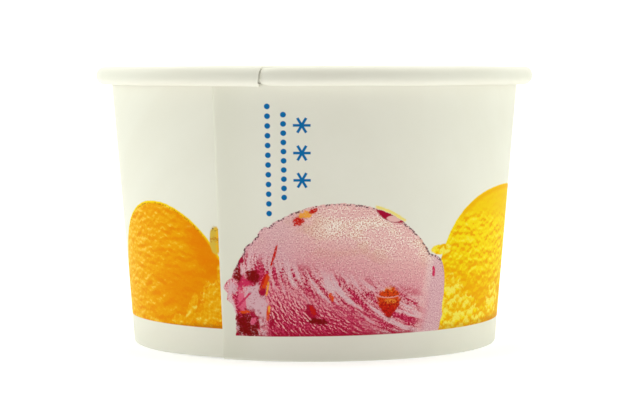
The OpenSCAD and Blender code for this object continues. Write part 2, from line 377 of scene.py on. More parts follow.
def bake_map(rings):
    i, j, printed = ring_grid(rings)
    closed = np.concatenate([rings[0], rings[0][:1]])
    width = np.linalg.norm(np.diff(closed, axis=0), axis=1)
    width = np.where(printed, PRINT_SHARE, 1.0) * width
    v = MARGIN + SPAN * np.concatenate([[0], np.cumsum(width)]) / width.sum()
    u = MARGIN + SIDE_WIDE * np.arange(len(rings)) / (len(rings) - 1)
    us = np.stack([u[i], u[i], u[i + 1], u[i + 1]], -1)
    vs = np.stack([v[j], v[j + 1], v[j + 1], v[j]], -1)
    parts = [np.stack([us, vs], -1).reshape(-1, 4, 2)]

    w = MARGIN + SPAN * along / along[-1]
    low, high = w[:-1], w[1:]
    for left, rows in zip(CUT_ENDS, ((low, low, high, high), (high, high, low, low))):
        right = left + CUT_END_WIDE
        sides = np.broadcast_to([left, right, right, left], (len(low), 4))
        parts.append(np.stack([sides, np.stack(rows, -1)], -1))
    return np.concatenate(parts)


def print_map(rings):
    i, j, printed = ring_grid(rings)
    k = (j + 1) % rings.shape[1]
    x = PRINT_R * np.radians(turns)
    z = rings[:, :, 2]
    xs = np.stack([x[i], x[i], x[i + 1], x[i + 1]], -1)
    zs = np.stack([z[i, j], z[i, k], z[i + 1, k], z[i + 1, j]], -1)
    flat = np.stack([xs, zs], -1)
    flat[~printed[j]] = NOT_PRINTED
    cut_ends = np.full((2 * (len(line) - 1), 4, 2), NOT_PRINTED)
    return np.concatenate([flat.reshape(-1, 4, 2), cut_ends])


add_uv(side_mesh, "OFBake", bake_map(rings))
add_uv(side_mesh, "Print", print_map(rings))
side = bpy.data.objects.new("side_sheet", side_mesh)
bpy.context.collection.objects.link(side)
print("UV maps:", [layer.name for layer in side_mesh.uv_layers])

# %% [markdown]
# The bottom is a paper disc whose edge is bent down into a skirt. The skirt stands between
# the side and the flap, and paper that is bent down round a circle has to gather, so small
# pleats run over the bend, each a little out of step. A shallow dome in the middle comes
# from the press.

# %% The bottom disc in section
ABOVE_FLAP, BEND_ROOM, ABOVE_FOLD = 0.6, 0.35, 0.4
FLOOR_Z = HEM_H + ABOVE_FLAP + PAPER
BEND_R = PAPER + BEND_ROOM
SKIRT_Z = 2 * PAPER + ABOVE_FOLD
BEND_Z = FLOOR_Z - BEND_R
BEND_X = wall_r(BEND_Z) - LAYER - BEND_R
CENTRE_R = 0.5
DISC_POINTS, BEND_POINTS, SKIRT_POINTS = 24, 10, 6
PLEATS, PLEAT_DEPTH, PLEAT_FADE = 72, 0.05, 1.5
STRAY, STRAYS = 1.3, 5
DOME, DOME_R = 0.25, 24

middle = (CENTRE_R, FLOOR_Z - HALF)
skirt_end = (wall_r(SKIRT_Z) - LAYER - HALF, SKIRT_Z)
bend = corner(BEND_X, BEND_Z, BEND_R - HALF, 90, 0, BEND_POINTS)
disc_line = np.concatenate([[middle], run(middle, bend[0], DISC_POINTS), bend])
skirt = run(bend[-1], skirt_end, SKIRT_POINTS)
disc_line = np.concatenate([disc_line, skirt, [skirt_end]])
disc_normals = -line_normals(disc_line)


def disc_ring(az):
    """The disc in section: its upper side to the skirt's edge, and its lower side back."""
    moved = disc_line.copy()
    near_bend = ease((moved[:, 0] - BEND_X + PLEAT_FADE) / PLEAT_FADE)
    beat = math.sin(PLEATS * az + STRAY * math.sin(STRAYS * az))
    pleat = PLEAT_DEPTH * (0.5 + 0.5 * beat)
    moved -= (pleat * near_bend)[:, None] * disc_normals
    moved[:, 1] += DOME * (1 - ease(moved[:, 0] / DOME_R))
    upper, lower = moved + HALF * disc_normals, moved - HALF * disc_normals
    return around(np.concatenate([upper, lower[::-1]]), az)


print("disc lies", FLOOR_Z, "mm up and its skirt ends", SKIRT_Z, "mm up")

# %% [markdown]
# The disc is that section turned once round, joined by quads, and closed in the middle by
# two fans of triangles, one above and one below. The skirt's edge is crisp.

# %% The bottom disc
DISC_STEPS = 360


def disc_faces(size):
    faces = []
    top_centre = DISC_STEPS * size
    for step in range(DISC_STEPS):
        here, there = step * size, (step + 1) % DISC_STEPS * size
        for j in range(size - 1):
            faces.append((here + j, here + j + 1, there + j + 1, there + j))
        faces.append((here, there, top_centre))
        faces.append((here + size - 1, top_centre + 1, there + size - 1))
    return faces


angles = np.linspace(0, 2 * np.pi, DISC_STEPS + 1)[:-1]
disc_rings = np.array([disc_ring(a) for a in angles])
disc_size = disc_rings.shape[1]
centres = [[0, 0, FLOOR_Z + DOME], [0, 0, FLOOR_Z + DOME - PAPER]]
disc_points = np.concatenate([disc_rings.reshape(-1, 3), centres]) * MM
disc_mesh = bpy.data.meshes.new("bottom_disc_sheet")
disc_mesh.from_pydata(disc_points.tolist(), [], disc_faces(disc_size))
disc_mesh.update()
mark_crisp(disc_mesh, disc_size, [disc_size // 2 - 1, disc_size // 2], [0])
disc = bpy.data.objects.new("bottom_disc_sheet", disc_mesh)
bpy.context.collection.objects.link(disc)
print("bottom disc:", len(disc_mesh.polygons), "faces")

# %% [markdown]
# The shader draws the printing with arithmetic on the `Print` map. To keep that readable,
# `Field` wraps a socket, so that `a + b` or `a * b` adds the node that does it. A field is
# a number that can differ at each point of the sheet: a distance, a mask, a wave.

# %% Arithmetic with shader nodes
class Field:
    def __init__(self, tree, socket):
        self.tree, self.socket = tree, socket

    def math(self, operation, *others):
        node = self.tree.nodes.new("ShaderNodeMath")
        node.operation = operation
        for slot, value in zip(node.inputs, (self, *others)):
            connect(self.tree, value, slot)
        return Field(self.tree, node.outputs[0])

    def __add__(self, other):
        return self.math("ADD", other)

    def __mul__(self, other):
        return self.math("MULTIPLY", other)

    def __sub__(self, other):
        return self.math("SUBTRACT", other)

    def __rsub__(self, other):
        return self * -1 + other

    def __truediv__(self, other):
        return self.math("DIVIDE", other)

    def root(self):
        return self.math("SQRT")

    def size(self):
        return self.math("ABSOLUTE")

    def least(self, other):
        return self.math("MINIMUM", other)

    def most(self, other):
        return self.math("MAXIMUM", other)

    def step(self, low, high):
        """0 below low and 1 above high, smooth between them; high may be the smaller."""
        node = self.tree.nodes.new("ShaderNodeMapRange")
        node.interpolation_type = "SMOOTHSTEP"
        connect(self.tree, self, node.inputs["Value"])
        node.inputs["From Min"].default_value = low
        node.inputs["From Max"].default_value = high
        return Field(self.tree, node.outputs[0])


def connect(tree, value, slot):
    if isinstance(value, Field):
        tree.links.new(value.socket, slot)
    else:
        slot.default_value = value


print("fields are ready")

# %% [markdown]
# Three more helpers make textures from fields. `grain` is cloudy noise, `cells` is the
# distance to the nearest of many scattered points, and `paint` lays one colour over
# another through a mask. Giving the two directions different scales stretches the noise,
# which turns clouds into streaks.

# %% Noise, cells and paint
def at(x, z, seed):
    node = x.tree.nodes.new("ShaderNodeCombineXYZ")
    for slot, value in zip(node.inputs, (x, z, seed)):
        connect(x.tree, value, slot)
    return node.outputs[0]


def grain(x, z, seed, detail=3.0, rough=0.55):
    """Cloudy noise about zero, with features about as large as one unit of x and z."""
    node = x.tree.nodes.new("ShaderNodeTexNoise")
    x.tree.links.new(at(x, z, seed), node.inputs["Vector"])
    node.inputs["Scale"].default_value = 1.0
    node.inputs["Detail"].default_value = detail
    node.inputs["Roughness"].default_value = rough
    return Field(x.tree, node.outputs[0]) - 0.5


def cells(x, z, seed, smooth=0.0):
    """Distance to the nearest of scattered points, about one in each unit square."""
    node = x.tree.nodes.new("ShaderNodeTexVoronoi")
    x.tree.links.new(at(x, z, seed), node.inputs["Vector"])
    node.inputs["Scale"].default_value = 1.0
    if smooth:
        node.feature = "SMOOTH_F1"
        node.inputs["Smoothness"].default_value = smooth
    return Field(x.tree, node.outputs["Distance"])


def paint(base, colour, mask):
    """Lays a colour over another where the mask is 1."""
    node = mask.tree.nodes.new("ShaderNodeMix")
    node.data_type = "RGBA"
    connect(mask.tree, mask, node.inputs["Factor"])
    for slot, value in ((node.inputs[6], base), (node.inputs[7], colour)):
        if isinstance(value, tuple):
            slot.default_value = (*value, 1.0)
        else:
            mask.tree.links.new(value, slot)
    return node.outputs[2]


print("noise, cells and paint are ready")

# %% [markdown]
# Cup paper is white board with a thin film of plastic. It is a little warm and a little
# uneven: slow clouds in its tone, and fine fibres that only just catch the light. Both
# pieces start from this finish, and the side's is then printed. The seed keeps the two
# sheets from sharing one pattern. The bottom has a broad shine and the printed side
# almost none.

# %% Coated paper
PAPER_SHINE, PRINTED_SHINE = 0.22, 0.01
PAPER_ROUGH = 0.48
CLOUDS_PER_MM = 0.12
FIBRES_PER_MM = 2.2
FIBRE_HIGH, FIBRE_BUMP = 0.02, 0.12
WHITE_PAPER = (0.80, 0.79, 0.715)
SHADED_PAPER = (0.78, 0.765, 0.685)


def paper_finish(name, seed):
    """A material of coated paper, worked out from places on it in millimetres, and its
    colour.
    """
    material = bpy.data.materials.new(name)
    material.use_nodes = True
    tree = material.node_tree
    where = tree.nodes.new("ShaderNodeTexCoord")
    split = tree.nodes.new("ShaderNodeSeparateXYZ")
    tree.links.new(where.outputs["Object"], split.inputs[0])
    x, y, z = (Field(tree, out) * (1 / MM) for out in split.outputs)
    cloud_x, cloud_z = x * CLOUDS_PER_MM + y * 0.07, z * CLOUDS_PER_MM + y * 0.1
    cloud = grain(cloud_x, cloud_z, seed, detail=4.0)
    colour = paint(WHITE_PAPER, SHADED_PAPER, cloud.step(-0.25, 0.35))
    fibre = grain(x * FIBRES_PER_MM + y * 1.3, z * FIBRES_PER_MM, seed + 5)
    bump = tree.nodes.new("ShaderNodeBump")
    bump.inputs["Strength"].default_value = FIBRE_BUMP
    bump.inputs["Distance"].default_value = FIBRE_HIGH * MM
    connect(tree, fibre, bump.inputs["Height"])
    shader = tree.nodes["Principled BSDF"]
    shader.inputs["Roughness"].default_value = PAPER_ROUGH
    shader.inputs["Specular IOR Level"].default_value = PAPER_SHINE
    tree.links.new(bump.outputs[0], shader.inputs["Normal"])
    tree.links.new(colour, shader.inputs["Base Color"])
    return material, colour


disc_paper, _ = paper_finish("bottom paper", 3.0)
side_paper, plain_colour = paper_finish("side paper", 11.0)
disc_mesh.materials.append(disc_paper)
side_mesh.materials.append(side_paper)
print("two papers:", disc_paper.name, "and", side_paper.name)

# %% [markdown]
# The print shows three scoops side by side, orange, pink and yellow, and the same three
# again at the back. A scoop is drawn in millimetres from its own middle, and `beside`
# gives the distance to the nearer one of the two that are alike, so both come from one
# drawing. `PX` and `PZ` are millimetres along the sheet and up from the table. The print
# isn't quite parallel to the cut edge of the sheet: its lower edge climbs by nearly a
# millimetre on its way round, so it doesn't meet itself at the seam. `RISE` is the height
# above that edge.

# %% Where the scoops lie
EDGE_AT_SEAM = 3.97
EDGE_CLIMB = 0.00938
EDGE_BEND = -2.29e-5
ORANGE_AZ = (-54, 124)
PINK_AZ = (7, 178)
YELLOW_AZ = (76, 232)


def along_mm(az):
    """How far along the sheet an azimuth lies, in millimetres."""
    return PRINT_R * math.radians((az - SEAM_AZ) % TURN)


def print_plane(material):
    tree = material.node_tree
    node = tree.nodes.new("ShaderNodeUVMap")
    node.uv_map = "Print"
    split = tree.nodes.new("ShaderNodeSeparateXYZ")
    tree.links.new(node.outputs[0], split.inputs[0])
    return Field(tree, split.outputs[0]), Field(tree, split.outputs[1])


PX, PZ = print_plane(side_paper)
RISE = PZ - PX * (PX * EDGE_BEND + EDGE_CLIMB) - EDGE_AT_SEAM


def beside(pair):
    """Millimetres to the right of the middle of the nearer scoop of a kind."""
    first, second = sorted(along_mm(az) for az in pair)
    return PX - first - PX.math("GREATER_THAN", (first + second) / 2) * (second - first)


print("pink scoops are", [round(along_mm(az), 1) for az in PINK_AZ], "mm along")

# %% [markdown]
# Five textures are shared by all the scoops: one that makes outlines ragged, one with
# crumbs about a millimetre wide, one as fine as the dots of the printing, specks that are
# finer still, and scattered points. `relief` turns noise into lit and shaded slopes, by
# comparing it with itself a little further down and to the right. `dome` is 1 in the
# middle of a scoop and 0 on its outline, `blob` is a soft ragged patch, such as a berry or
# a shadow, and `heap` is several blobs in one. In all the painting below, the two numbers
# in a `step` are where a mask is 0 and where it is 1, and the factor after it is how
# strongly the colour goes on.

# %% Domes, blobs and relief
ragged = grain(PX * 0.9, PZ * 0.9, 4.0, detail=4.0, rough=0.7)
crumbly = grain(PX * 1.5, PZ * 1.5, 21.0, detail=2.0)
fine = grain(PX * 2.9, PZ * 2.9, 33.0, detail=2.0, rough=0.7)
specks = grain(PX * 4.6, PZ * 4.6, 47.0, detail=1.0)
points = cells(PX * 2.9, PZ * 2.9, 41.0)
above_print_edge = RISE.step(0.0, 0.12)
EDGE_SOFT, LINE_SOFT = 0.008, 0.004


def relief(x, z, seed, detail=2.0, right=0.3, down=0.3):
    """Slopes of a noise: above zero where they face the upper left."""
    there = grain(x + right, z - down, seed, detail)
    return there - grain(x, z, seed, detail)


def dome(dx, cz, rx, rz, square=2.0, rough=0.03):
    wide = (dx * (1 / rx)).size().math("POWER", square)
    high = ((PZ - cz) * (1 / rz)).size().math("POWER", square)
    return 1 - (wide + high).math("POWER", 1 / square) + ragged * rough


def blob(dx, cx, cz, rx, rz, rough=0.6, soft=0.12, lean=0.0):
    """1 inside a ragged ellipse that leans right by `lean` for each millimetre up."""
    up = PZ - cz
    over = (dx - cx - up * lean) if lean else (dx - cx)
    over, up = over * (1 / rx), up * (1 / rz)
    reach = (over * over + up * up).root() + crumbly * rough
    return reach.step(1 + soft, 1 - soft)


def heap(dx, patches):
    """Blobs as one patch, from rows of middle, half sizes, raggedness and lean."""
    whole = None
    for cx, cz, rx, rz, rough, lean in patches:
        patch = blob(dx, cx, cz, rx, rz, rough, lean=lean)
        whole = patch if whole is None else whole.most(patch)
    return whole


def shown(body):
    """Where a scoop covers what is behind it."""
    return body.step(0.0, EDGE_SOFT) * above_print_edge


def outline(body, low, high):
    """A thin line inside an outline, broken up into dots."""
    inside = body.step(low, low + LINE_SOFT) * body.step(high + LINE_SOFT, high)
    return inside * points.step(0.55, 0.40)


print("domes, blobs and relief are ready")

# %% [markdown]
# The yellow scoops are the furthest back. They are golden at the top, fluffy and lemon
# coloured in the middle and amber below. Their left half is squarer than their right.

# %% Yellow scoops
YELLOW = (0.84, 0.53, 0.003)
LEMON = (0.89, 0.69, 0.008)
GOLD = (0.83, 0.50, 0.004)
AMBER = (0.82, 0.37, 0.002)
CREAM = (0.90, 0.78, 0.11)
RUST = (0.50, 0.15, 0.006)
YELLOW_Z, YELLOW_HIGH = 5.5, 22.1
YELLOW_LEFT, YELLOW_RIGHT = 22.2, 21.0

yellow_x = beside(YELLOW_AZ)
right_half = dome(yellow_x.most(0.0), YELLOW_Z, YELLOW_RIGHT, YELLOW_HIGH, rough=0.012)
yellow_shape = dome(yellow_x, YELLOW_Z, YELLOW_LEFT, YELLOW_HIGH, square=3.0, rough=0.012)
yellow_shape = yellow_shape.least(right_half)


def yellow_scoop(colour):
    x, body = yellow_x, yellow_shape
    rows = relief(x * 0.48 + ragged * 0.4, PZ * 0.75 + ragged * 0.4, 9.0, 3.0, 0.03, 0.4)
    puffs = relief(x * 1.0, PZ * 1.15, 15.0, 2.0, 0.05, 0.4)
    lumps = rows * 0.9 + puffs * 0.55
    top = (PZ + x * 0.10 + ragged * 2).step(20.5, 23.5)
    low = (PZ + x * 0.20 + ragged * 7).step(13.0, 8.0)
    ice = paint(YELLOW, LEMON, (PZ + x * 0.25 + ragged * 4).step(11.0, 15.0) * 0.6)
    ice = paint(ice, AMBER, low * 0.75)
    ice = paint(ice, AMBER, lumps.step(-0.02, -0.14) * (1 - top * 0.7))
    ice = paint(ice, LEMON, lumps.step(0.0, 0.10) * (1 - top * 0.6) * (1 - low * 0.6))
    ice = paint(ice, CREAM, lumps.step(0.10, 0.22) * (1 - top) * (1 - low) * 0.45)
    ice = paint(ice, GOLD, top * 0.55)
    ice = paint(ice, AMBER, fine.step(0.04, 0.2) * 0.3)
    ice = paint(ice, AMBER, body.step(0.06, 0.03) * PZ.step(21, 24) * 0.6)
    ice = paint(ice, LEMON, body.step(0.018, 0.0) * PZ.step(15, 20) * 0.8)
    dots = points.step(0.26, 0.16) * body.step(0.09, 0.03) * body.step(0.0, 0.012)
    ice = paint(ice, RUST, dots * PZ.step(15, 17) * PZ.step(24, 22) * 0.6)
    return paint(colour, ice, shown(body))


print("yellow scoops reach", round(YELLOW_Z + YELLOW_HIGH, 1), "mm up")

# %% [markdown]
# The crumbs lie over the ice. They are rounded cells, pale in the middle of each and amber
# in the gaps, and show only inside the heaps. The last row is a flake on the shoulder.

# %% Crumbs of the yellow scoops
YELLOW_HEAPS = [
    (-18.4, 8.2, 3.4, 4.6, 1.2, 0.0),
    (-14.6, 6.8, 3.6, 3.0, 1.2, 0.0),
    (-9.8, 5.8, 3.0, 1.4, 1.2, 0.0),
    (-3.6, 8.0, 3.4, 2.6, 1.2, 0.0),
    (9.0, 7.0, 7.0, 2.4, 1.4, 0.0),
    (-21.2, 17.7, 2.3, 0.85, 0.5, 0.0),
]
BALL_SEED = 29.0


def yellow_crumbs(colour):
    foot = heap(yellow_x, YELLOW_HEAPS)
    wide, high = yellow_x * 0.8 + ragged * 1.6, PZ * 0.8 + crumbly * 1.2
    balls = cells(wide, high, BALL_SEED)
    shade = cells(wide, high + 0.3, BALL_SEED) - balls
    crumbs = paint(LEMON, CREAM, (shade + 0.15).step(0.0, 0.35) * 0.9)
    crumbs = paint(crumbs, AMBER, balls.step(0.36, 0.62) * shade.step(0.15, -0.2) * 0.9)
    crumbs = paint(crumbs, AMBER, specks.step(-0.05, -0.18) * 0.5)
    colour = paint(colour, crumbs, foot * above_print_edge)
    edge = (RISE + crumbly * 2.0 + fine).step(1.3, 0.4)
    return paint(colour, RUST, edge * shown(yellow_shape) * 0.4)


print("heaps round a yellow scoop:", len(YELLOW_HEAPS))

# %% [markdown]
# The orange scoops are scraped ice: soft curved ridges, pale towards the upper left and
# deep orange at the right. The ridges are noise that is stretched along the scoop and
# bent down at its sides.

# %% Orange scoops
ORANGE = (0.80, 0.335, 0.002)
ORANGE_LIGHT = (0.84, 0.44, 0.010)
ORANGE_PALE = (0.90, 0.61, 0.085)
ORANGE_DEEP = (0.77, 0.195, 0.001)
ORANGE_Z, ORANGE_WIDE, ORANGE_HIGH = 5.0, 17.6, 20.4

orange_x = beside(ORANGE_AZ)
orange_shape = dome(orange_x - 0.5, ORANGE_Z, ORANGE_WIDE, ORANGE_HIGH, rough=0.015)


def orange_scoop(colour):
    x = orange_x
    arch = PZ + x * x * 0.006 + ragged * 0.8
    ridges = relief(x * 0.36, arch * 0.72, 2.0, 3.0, 0.04, 0.36)
    streaks = relief(x * 0.75, arch * 1.5, 7.0, 2.0, 0.08, 0.45)
    lit = x * -0.013 + PZ * 0.004 - 0.10
    ice = paint(ORANGE, ORANGE_LIGHT, (x * -0.05 + ragged * 0.8).step(-0.1, 0.7) * 0.7)
    ice = paint(ice, ORANGE_DEEP, (ridges * -1 - lit * 0.4).step(0.0, 0.20) * 0.6)
    ice = paint(ice, ORANGE_LIGHT, (ridges + streaks * 0.5 + lit).step(-0.06, 0.12) * 0.8)
    ice = paint(ice, ORANGE_PALE, (ridges + streaks * 0.6 + lit).step(0.05, 0.30) * 0.9)
    ice = paint(ice, ORANGE_DEEP, blob(x, 11.8, 17.5, 2.4, 5.0, 1.2, 0.6, -0.5) * 0.75)
    ice = paint(ice, ORANGE_DEEP, blob(x, 8.0, 11.5, 6.5, 3.6, 1.2, 0.7) * 0.45)
    ice = paint(ice, ORANGE_LIGHT, fine.step(0.04, 0.2) * 0.25)
    ice = paint(ice, ORANGE_DEEP, specks.step(-0.06, -0.2) * 0.3)
    ice = paint(ice, LEMON, orange_shape.step(0.034, 0.010) * PZ.step(11, 15) * 0.85)
    ice = paint(ice, RUST, outline(orange_shape, 0.014, 0.026) * PZ.step(19, 21) * 0.8)
    return paint(colour, ice, shown(orange_shape))


print("orange scoops stand at", [round(along_mm(az), 1) for az in ORANGE_AZ], "mm along")

# %% [markdown]
# At the right foot of each orange scoop lie broken pieces of it, and beside it stands a
# small upright chip of peel: olive and orange, with a dark tip and a rusty band.

# %% Crumbs of the orange scoops
OLIVE = (0.66, 0.45, 0.06)
PLUM = (0.07, 0.012, 0.025)
CHIP_X, CHIP_Z = 14.2, 19.4
ORANGE_HEAPS = [
    (8.6, 7.9, 1.0, 2.6, 0.8, 0.42),
    (5.2, 5.9, 1.5, 0.9, 1.2, 0.0),
    (13.4, 9.4, 2.4, 3.2, 1.8, 0.0),
    (11.4, 6.6, 2.6, 1.3, 1.6, 0.0),
    (15.0, 13.8, 0.8, 1.8, 1.2, 0.0),
    (-12.0, 5.9, 4.0, 1.2, 1.6, 0.0),
]


def orange_crumbs(colour):
    x = orange_x
    foot = heap(x, ORANGE_HEAPS)
    lumps = relief(x * 1.0, PZ * 1.0, 37.0, 2.0, 0.2, 0.4)
    crumbs = paint(ORANGE_LIGHT, CREAM, lumps.step(0.04, 0.24) * 0.8)
    crumbs = paint(crumbs, ORANGE, lumps.step(0.0, -0.12))
    colour = paint(colour, crumbs, foot * above_print_edge * 0.8)
    stack = blob(x, CHIP_X, CHIP_Z, 1.1, 2.3, 0.3)
    chip = paint(OLIVE, ORANGE_LIGHT, (fine * 3 + x - CHIP_X).step(0.0, 0.4) * 0.8)
    chip = paint(chip, PLUM, (PZ + fine * 3).step(20.9, 21.3) * points.step(0.6, 0.3))
    chip = paint(chip, RUST, (PZ + fine * 2 - 19.6).size().step(0.3, 0.15) * 0.7)
    colour = paint(colour, chip, stack * above_print_edge)
    edge = (RISE + crumbly * 1.2 + fine - x * 0.05).step(0.3, -0.3)
    return paint(colour, RUST, edge * shown(orange_shape) * 0.7)


print("heaps round an orange scoop:", len(ORANGE_HEAPS))

# %% [markdown]
# The pink scoops stand in front. Each is a round with a lobe at its right, a foot that is
# slimmer than the round at its left, and three bumps on its left outline. `least` cuts
# one such body with another, and `most` joins them.

# %% Outline of the pink scoops
ROUND_R, ROUND_Z = 19.5, 6.2
LOBE_X, LOBE_Z = 13.6, 9.0
BUMPS = ((-11.9, 20.5, 1.5), (-14.6, 18.0, 1.2), (-17.9, 11.9, 1.7))


def pink_body(x):
    low = PZ.step(11.0, 3.5)
    body = dome(x, ROUND_Z, ROUND_R, ROUND_R, rough=0.035)
    body = body.least((20.6 - low * 1.9 - x + ragged * 0.6) * 0.05)
    lobe = dome(x - LOBE_X + low * 1.2, LOBE_Z, 6.0, 8.2, square=4.0)
    body = body.most(lobe * 0.35)
    body = body.least((x + 17.6 + PZ.step(8.0, 11.2) * 2.2 + ragged * 1.2) * 0.05)
    for cx, cz, r in BUMPS:
        bump = dome(x - cx, cz, r, r, square=1.3, rough=0.3)
        body = body.most(bump * (r / ROUND_R))
    return body


pink_x = beside(PINK_AZ)
pink_shape = pink_body(pink_x)
pink_shown = shown(pink_shape)
print("pink scoops reach", ROUND_Z + ROUND_R, "mm up")

# %% [markdown]
# The ridges of the pink ice fan out: steep at the left and flatter towards the right.
# `across` and `down` are directions that follow this fan, so noise that is stretched in
# them bends with it. `valleys` are long and deep, `strokes` short and fine. `depth` is
# where the colours change, a line that falls towards the right.

# %% Ridges of the pink ice
FAN_SIN, FAN_COS = 0.5, 0.866
FAN_BEND = 0.032

up = PZ - 10
down = pink_x * FAN_SIN - up * FAN_COS
fan = down + 4
across = pink_x * FAN_COS + up * FAN_SIN - fan * fan * FAN_BEND + ragged * 0.6
valleys = grain(across * 0.8, down * 0.15, 13.0, rough=0.6)
strokes = relief(across * 2.4, down * 1.0, 17.0, 2.0, 0.4, 0.0) + fine * 0.6
clouds = grain(pink_x * 0.22, PZ * 0.3, 19.0, detail=2.0)
depth = PZ + pink_x * 0.22 + ragged * 3
print("the fan turns about", round(math.degrees(math.asin(FAN_SIN))), "degrees")

# %% [markdown]
# The ice is painted in four coats. The first is the ground, pale and sandy above, rosy
# below and lilac at the sides, with dark and pale specks. The second cuts magenta valleys
# into the lower half, with pale ridges between them.

# %% Ground and valleys
PINK = (0.72, 0.30, 0.35)
PINK_PALE = (0.80, 0.47, 0.46)
PINK_SAND = (0.74, 0.43, 0.34)
LILAC = (0.68, 0.42, 0.48)
HOT_PINK = (0.72, 0.12, 0.22)
ROSE = (0.66, 0.13, 0.20)
MAGENTA = (0.58, 0.028, 0.10)
CRIMSON = (0.38, 0.006, 0.035)
FROST = (0.95, 0.85, 0.78)
DUSK = (0.36, 0.10, 0.13)


def ground_coat():
    x = pink_x
    ice = paint(PINK_PALE, PINK_SAND, clouds.step(-0.02, 0.12) * PZ.step(13, 18))
    ice = paint(ice, PINK, depth.step(22.0, 13.0))
    ice = paint(ice, LILAC, x.step(-4.0, -10.0) * PZ.step(12, 15) * 0.5)
    ice = paint(ice, ROSE, depth.step(14.0, 7.0) * x.step(15.0, 10.0) * 0.7)
    ice = paint(ice, LILAC, (x + PZ.step(8.0, 4.0)).step(14.8, 17.0) * 0.8)
    band = (x - 16.2 + PZ.step(16.0, 4.0) * 2.2 + ragged).size().step(1.2, 0.2)
    ice = paint(ice, FROST, band * (fine + 0.3) * 0.7)
    ice = paint(ice, DUSK, specks.step(-0.05, -0.15) * 0.5)
    return paint(ice, FROST, specks.step(0.08, 0.17) * 0.5)


def valley_coat(ice):
    lower = depth.step(15.5, 12.0) * pink_x.step(16.0, 12.5)
    cut = (valleys + crumbly * 0.1 + fine * 0.4).step(0.02, 0.045) * lower
    crest = (valleys + fine * 0.4).step(-0.01, -0.05) * specks.step(0.0, 0.1)
    ice = paint(ice, LILAC, valleys.step(-0.03, -0.07) * lower * 0.85)
    ice = paint(ice, FROST, crest * lower * 0.35)
    ice = paint(ice, MAGENTA, cut * 0.95)
    ice = paint(ice, CRIMSON, cut * fine.step(-0.03, 0.03) * 0.9)
    return paint(ice, HOT_PINK, cut * fine.step(-0.05, -0.10) * 0.9)


print("two coats are ready")

# %% [markdown]
# The third coat covers the lower left with short crimson and pale strokes, and darkens
# the foot. The last lays frost on the right of the top, and draws the broken dark line
# that the printer set inside the upper outline.

# %% Strokes and frost
def stroke_coat(ice):
    x = pink_x
    dense = (PZ + (x + 8) * 0.34 + ragged * 3).step(13.5, 8.5)
    dense = dense * x.step(9.0, 1.0) * x.step(-12.6, -11.2)
    deep = (PZ + ragged * 2).step(10.5, 6.0) * dense
    dark_stroke = (strokes - PZ * 0.009 + 0.09).step(0.03, 0.09)
    pale_stroke = (strokes * -1 + PZ * 0.014 - 0.16).step(0.0, 0.10)
    ice = paint(ice, HOT_PINK, dense * 0.9)
    ice = paint(ice, MAGENTA, deep * 0.85)
    ice = paint(ice, CRIMSON, dark_stroke * dense)
    ice = paint(ice, PINK_PALE, pale_stroke * dense)
    foot = (RISE + fine * 3 + crumbly * 2).step(0.9, 0.3) * x.step(15.0, 12.0)
    return paint(ice, CRIMSON, foot * 0.75)


def frost_coat(ice):
    body = pink_shape
    frost = body.step(0.40, 0.22) * body.step(0.01, 0.04)
    frost = frost * pink_x.step(-7, 0) * PZ.step(15.0, 18)
    ice = paint(ice, FROST, (specks + clouds * 0.5).step(0.02, 0.11) * frost)
    ice = paint(ice, ROSE, specks.step(-0.08, -0.2) * frost * 0.5)
    return paint(ice, PLUM, outline(body, 0.0, 0.018) * PZ.step(13, 16) * 0.9)


def pink_scoop(colour):
    ice = frost_coat(stroke_coat(valley_coat(ground_coat())))
    return paint(colour, ice, pink_shown)


print("pink ice is ready")

# %% [markdown]
# Fruit is laid over the pink ice as a list of patches. Each is a ragged ellipse with its
# place, its half width and half height, its lean and its colour, and the later ones lie
# on top. Dark red patches at the left foot are where the juice has pooled.

# %% Fruit in the pink scoops
BERRY = (0.55, 0.014, 0.008)
BERRY_LIGHT = (0.70, 0.065, 0.008)
PEEL = (0.85, 0.36, 0.05)
MAROON = (0.20, 0.005, 0.004)
FRUIT_ROUGH, FRUIT_SOFT = 1.9, 0.25

